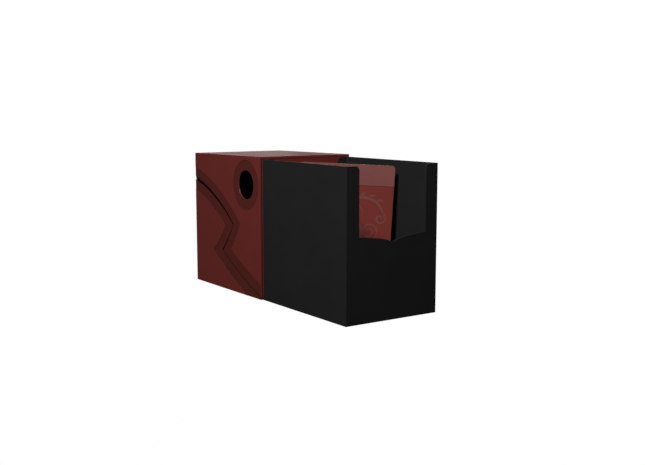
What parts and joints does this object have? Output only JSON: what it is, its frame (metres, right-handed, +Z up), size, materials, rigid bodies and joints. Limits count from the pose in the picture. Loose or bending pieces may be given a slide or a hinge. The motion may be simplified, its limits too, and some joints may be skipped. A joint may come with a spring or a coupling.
{
  "type": "card deck box",
  "caption": "Slide-out card deck box: a two-part sleeve with finger holes and an S-shaped parting line, an open-topped tray with thumb cuts and a red back plate, and a loose divider.",
  "frame": {"origin": "centre of the footprint of the whole object at rest, on the surface it stands on", "axes": "+X across the width, +Y along the length from the tray's front towards the sleeve's closed back, +Z up"},
  "size_m": [0.0778, 0.2, 0.102],
  "materials": {
    "sleeve_red": "satin moulded plastic, dark crimson, with duller bands beside the parting line and round the finger holes",
    "tray_black": "fine-textured moulded plastic, near black",
    "divider_red": "smooth matt sheet, brick red, with a tone-on-tone scroll print",
    "label_pink": "slightly grainy write-on strip, dusty rose"
  },
  "bodies": {
    "rear_half": {"rear_shell": "sleeve_red"},
    "front_half": {"front_shell": "sleeve_red"},
    "tray": {"inner_tray": "tray_black", "back_plate": "sleeve_red"},
    "divider": {"divider_panel": "divider_red", "divider_label": "label_pink"}
  },
  "joints": [
    {"name": "sleeve_parting", "type": "slide", "parent": "rear_half", "child": "front_half", "axis": [0, -1, 0], "range_m": [0, 0.09]},
    {"name": "tray_slide", "type": "slide", "parent": "front_half", "child": "tray", "axis": [0, 1, 0], "range_m": [0, 0.0976]},
    {"name": "divider_slide", "type": "slide", "parent": "tray", "child": "divider", "axis": [0, 1, 0], "range_m": [-0.034, 0.032]}
  ]
}
